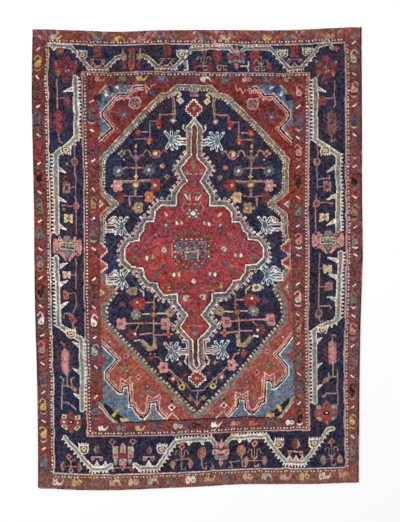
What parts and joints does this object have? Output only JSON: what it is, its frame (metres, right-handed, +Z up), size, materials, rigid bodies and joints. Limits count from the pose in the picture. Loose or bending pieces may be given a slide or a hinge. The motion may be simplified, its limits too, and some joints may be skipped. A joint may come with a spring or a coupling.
{
  "type": "persian rug",
  "caption": "Flat hand-knotted wool rug with a stepped medallion on a blue field, red and blue borders, overcast side cords and narrow woven ends, for laying on a floor.",
  "frame": {"origin": "on the floor under the middle of the rug's box, at the height of its flat underside", "axes": "+Z up out of the pile, +Y along the rug's length towards its upper end, +X across the rug"},
  "size_m": [1.3862, 1.942, 0.0075],
  "materials": {
    "knotted_wool": "matt clipped wool pile in madder red, dark blue, ivory and other yarns",
    "overcast_wool": "matt wool yarn wrapped round the edge",
    "end_weave": "matt flat weave of undyed yarn"
  },
  "bodies": {
    "root": {"rug_body": "knotted_wool", "side_cord_left": "overcast_wool", "side_cord_right": "overcast_wool", "end_band_lower": "end_weave", "end_band_upper": "end_weave"}
  },
  "joints": []
}
